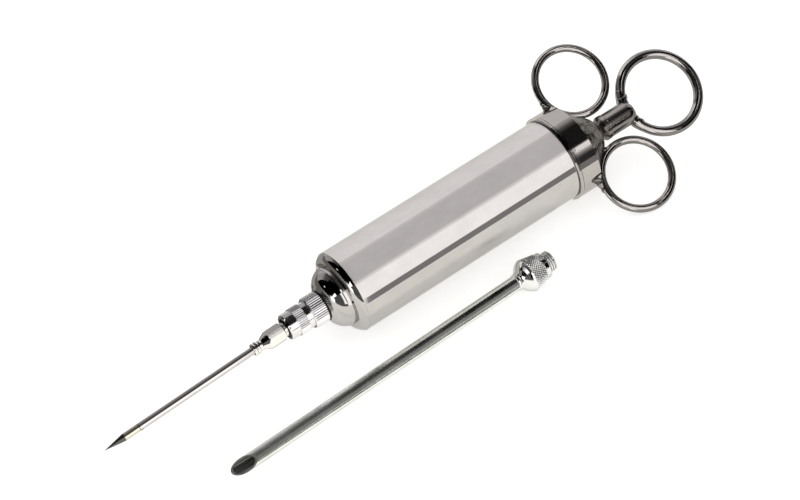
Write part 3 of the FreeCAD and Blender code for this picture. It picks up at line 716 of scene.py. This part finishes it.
pieces = {
    **nodes,
    "spare_grip": spare_grip,
    "bell_casting": bell_casting,
    "thumb_braze": thumb_braze,
}
SPARE_PIECES = ["spare_tube", "spare_hub", "spare_grip"]
WIRE = ["finger_ring_upper", "finger_ring_lower", "thumb_ring"]
REAR = [*WIRE, "thumb_hub", "thumb_braze", "bell_casting", "rod_jam_nut", "plunger_rod"]


def only(names):
    return [pieces[name] for name in names]


def all_but(names):
    return [piece for name, piece in pieces.items() if name not in names]


# behind the injector and overhead, from far ahead of the needle to behind the thumb ring
long_card("far_tip", -FAR, TIP_X, [(FOOT, NIGHT), (37, NIGHT)])
NEAR_TIP = [
    (FOOT, 0.56), (-68, 0.5), (-52, 0.12), (-50, 0.12),
    (-50, 0.24), (-20, 0.12), (0, 0.03), (36, 0.03),
]
long_card("near_tip", TIP_X, NEEDLE_X, NEAR_TIP)
NEEDLE_BACK = [
    (FOOT, 0.8), (-75, 0.7), (-60, 0.4), (-42, 0.25), (-16, 0.18), (-10, 0.1), (38, 0.08),
]
long_card("needle", NEEDLE_X, HUB_X, NEEDLE_BACK)
HUB_BACK = [(FOOT, 0.38), (-52, 0.36), (-46, 0.15), (-6, 0.14), (-2, NIGHT), (38, NIGHT)]
long_card("hub", HUB_X, NECK_X, HUB_BACK, TENT + 1)
HUB_STRIPES = [(9, 1.3), (12, 1.3), (12, 0.25), (14.5, 0.25), (14.5, 1.2), (16.5, 1.2)]
long_card("hub_stripes", HUB_X, NECK_X, HUB_STRIPES, TENT, only(["needle_hub"]))
NECK_BACK = [(FOOT, 0.43), (-48, 0.42), (-36, 0.09), (-26, NIGHT), (38, NIGHT)]
long_card("neck", NECK_X, LAND_X, NECK_BACK)
LAND_BACK = [(FOOT, 0.8), (-50, 0.78), (-38, 0.12), (-20, 0.07), (26, 0.07), (37, 0.7)]
long_card("land", LAND_X, BARREL_X, LAND_BACK)
TUBE_ONLY = only(["barrel_tube"])
long_card("barrel_back", BARREL_X, COLLAR_X, [(FOOT, 1.25), (-38, 1.25), (-31, 1.05)])
BARREL_TOP = [(-31, 1.05), (-25, 0.88), (30, 0.88), (37, 1.3)]
long_card("barrel_top", BARREL_X, COLLAR_X, BARREL_TOP, TENT, TUBE_ONLY)
COLLAR_BACK = [(FOOT, 1.0), (-38, 1.0), (-28, 0.55), (-18, 0.14), (-8, 0.02)]
long_card("collar_back", COLLAR_X, BELL_X, COLLAR_BACK)
long_card("collar_top", COLLAR_X, BELL_X, [(-8, 0.02), (35, 0.02)], TENT + 2)
long_card("wire_top", 228, 262, [(10, 3.0), (36, 3.0)], TENT + 3, only(WIRE))
REAR_BACK = [
    (FOOT, 1.3), (-90, 1.3), (-90, 0.7), (-75, 0.6),
    (-50, 0.9), (-28, 0.8), (-18, 0.1), (-8, NIGHT),
]
long_card("rear_back", BELL_X, FAR, REAR_BACK)
long_card("rear_top", 262, FAR, [(-8, NIGHT), (20, NIGHT), (37, 0.2)], TENT + 2)
COOL = (0.23, 0.23, 0.265)
long_card("cool_patch", 280, 520, [(-42, COOL), (-8, COOL)], TENT - 4)
long_card("tip_spark", -470, -410, [(-64, 1.6), (-54, 1.6)], TENT - 4)
SPARE_TOP = [(-32, 0.6), (-15, 0.6), (5, 1.5), (34, 1.5)]
long_card("spare_top", -350, -120, SPARE_TOP, TENT - 3, only(SPARE_PIECES))

# for the barrel alone, which mirrors them mostly when it is seen from other sides
long_card("tube_near", TIP_X, NEEDLE_X, [(-50, 1.6), (36, 1.6)], TENT - 1, TUBE_ONLY, HALF_CARD)
TUBE_FAR = [(FOOT, 0.9), (-38, 0.9), (-31, 0.8), (36, 0.8)]
long_card("tube_far", -FAR, TIP_X, TUBE_FAR, TENT - 2, TUBE_ONLY)
long_card("tube_rear", 280, FAR, [(-8, 0.8), (19, 0.8)], TENT - 5, TUBE_ONLY)
long_card("tube_rear_front", 280, FAR, [(38, 0.5), (84, 0.5)], TENT - 5, TUBE_ONLY)

# the front cap's white highlights; the barrel is lit too, so that it sees no black card
CAP_AND_TUBE = only(["front_cap", "barrel_tube"])
long_card("cap_spark", -1250, -380, [(19, 2.6), (36, 2.6)], TENT - 3, CAP_AND_TUBE)

# in front
long_card("front_far_tip", -1300, -170, [(37, 0.12), (90, 0.13)], TENT + 1)
long_card("front_tip", -170, NEEDLE_X, [(35, 1.8), (80, 1.8)], TENT, all_but(SPARE_PIECES))
VEILED = {
    "front_needle": (NEEDLE_X, HUB_X, [(38, 0.3), (46, 2.0), (99, 2.0)]),
    "front_hub": (HUB_X, NECK_X, [(38, 1.25), (90, 1.25)]),
    "front_neck": (NECK_X, LAND_X, [(38, 0.1), (44, 1.3), (87, 1.3), (87, 0.0), (96, 0.0)]),
    "front_land": (LAND_X, BARREL_X, [(37, 0.8), (40, 2.0), (91, 2.0)]),
}
for name, (start, end, stops) in VEILED.items():
    long_card(name, start, end, stops, TENT, all_but(["spare_tube"]), VEILED_CARD)
long_card(
    "front_barrel", BARREL_X, 240, [(37, 1.3), (41, 1.75), (80, 1.75)],
    TENT, all_but(["rear_cap", "spare_tube"]), VEILED_CARD,
)
long_card("front_veil", NEEDLE_X, 240, [(37, 1.2), (99, 1.2)], TENT + 20)
COLLAR_PATCH = [
    (35, 0.03), (38, 0.06), (42, 1.7), (51, 1.5),
    (55, 0.7), (60, 0.3), (66, 0.05), (97, 0.03),
]
long_card("front_collar", COLLAR_X, BELL_X, COLLAR_PATCH, TENT - 2)
long_card("front_rear", 240, FAR, [(37, NIGHT), (84, NIGHT), (97, 0.1)])
long_card("front_thumb", 250, 275, [(20, 0.2), (50, 0.26)], TENT - 2)
FRONT_SPARK = [(44, 2.0), (47, 2.0), (47, 0.3), (62, 0.3), (62, 2.0), (66, 2.0)]
long_card("front_spark", 252, 263, FRONT_SPARK, TENT - 3)
long_card("low_barrel", 61, 196, [(80, 0.34), (97.5, 0.34)], TENT - 100)

# on the table and beyond the needle
flat_card("table_tip", on_table(-420, -38, 4, TENT), TABLE_GREY)
flat_card("table_nose", on_table(-38, -12, 4, 36), TABLE_GREY)
flat_card("table_side", on_table(-38, 4, 36, TENT), (0.56, 0.54, 0.53))
spare_sheet = on_table(-110, 80, -110, -43)
flat_card("table_spare", spare_sheet, PAPER, all_but(["spare_tube"]), VEILED_CARD)
flat_card("table_rear", on_table(95, 700, -400, 400), PAPER, all_but(REAR), HALF_CARD)
END_X, END_LEFT, END_RIGHT, END_TOP = -620 * MM, -165 * MM, 25 * MM, 130 * MM
END_LIGHT = (2.6, 2.6, 2.6)
end_sides = [
    (END_LEFT, FLOOR_Z),
    (END_RIGHT, FLOOR_Z),
    (END_RIGHT, END_TOP),
    (END_LEFT, END_TOP),
]
flat_card("end_light", [(END_X, y, z) for y, z in end_sides], END_LIGHT)

# The barrel in the photo shows no image of the spare needle, so it stays out of reflections.
for name in SPARE_PIECES:
    pieces[name].visible_glossy = False

# the world is pale to everything but reflections, which see it dim
world = bpy.data.worlds.new("studio")
scene.world = world
world.use_nodes = True
tree = world.node_tree
tree.nodes.clear()
path = tree.nodes.new("ShaderNodeLightPath")
pale = tree.nodes.new("ShaderNodeBackground")
pale.inputs["Color"].default_value = (1.0, 0.997, 0.99, 1)
dim = tree.nodes.new("ShaderNodeBackground")
dim.inputs["Color"].default_value = (0.12, 0.12, 0.12, 1)
mix = tree.nodes.new("ShaderNodeMixShader")
output = tree.nodes.new("ShaderNodeOutputWorld")
tree.links.new(path.outputs["Is Glossy Ray"], mix.inputs[0])
tree.links.new(pale.outputs[0], mix.inputs[1])
tree.links.new(dim.outputs[0], mix.inputs[2])
tree.links.new(mix.outputs[0], output.inputs["Surface"])

FLOOR_HALF = 4.0
floor_mesh = bpy.data.meshes.new("floor")
corners = [(-1, -1), (1, -1), (1, 1), (-1, 1)]
floor_points = [(x * FLOOR_HALF, y * FLOOR_HALF, FLOOR_Z) for x, y in corners]
floor_mesh.from_pydata(floor_points, [], [(0, 1, 2, 3)])
floor = bpy.data.objects.new("floor", floor_mesh)
scene.collection.objects.link(floor)
g = Graph("floor_paper")
g.shader.inputs["Base Color"].default_value = (0.66, 0.657, 0.65, 1)
g.shader.inputs["Roughness"].default_value = 0.9
g.shader.inputs["Specular IOR Level"].default_value = 0.1
g.shader.inputs["Emission Color"].default_value = (1.0, 0.996, 0.985, 1)
g.shader.inputs["Emission Strength"].default_value = 0.57
floor_mesh.materials.append(g.material)

# --------------------------------------------------------------------- camera

AZIMUTH, ELEVATION, ROLL = (math.radians(d) for d in (-30.617, 50.078, -7.784))
DISTANCE, ASIDE, ABOVE = 1.02615, 0.02226, 0.01466
back = Vector(
    (
        math.sin(AZIMUTH) * math.cos(ELEVATION),
        -math.cos(AZIMUTH) * math.cos(ELEVATION),
        math.sin(ELEVATION),
    )
)
level = Vector((math.cos(AZIMUTH), math.sin(AZIMUTH), 0))
upright = back.cross(level)
right = level * math.cos(ROLL) + upright * math.sin(ROLL)
up = upright * math.cos(ROLL) - level * math.sin(ROLL)
camera_data = bpy.data.cameras.new("camera")
camera_data.sensor_width = 36
camera_data.lens = 122.05
camera_data.shift_x = -0.00247
camera_data.shift_y = 0.00375
camera_data.clip_start = 0.05
camera = bpy.data.objects.new("camera", camera_data)
scene.collection.objects.link(camera)
axes = Matrix((right, up, back)).transposed()
stand = back * DISTANCE + right * ASIDE + up * ABOVE
camera.matrix_world = Matrix.Translation(stand) @ axes.to_4x4()
scene.camera = camera
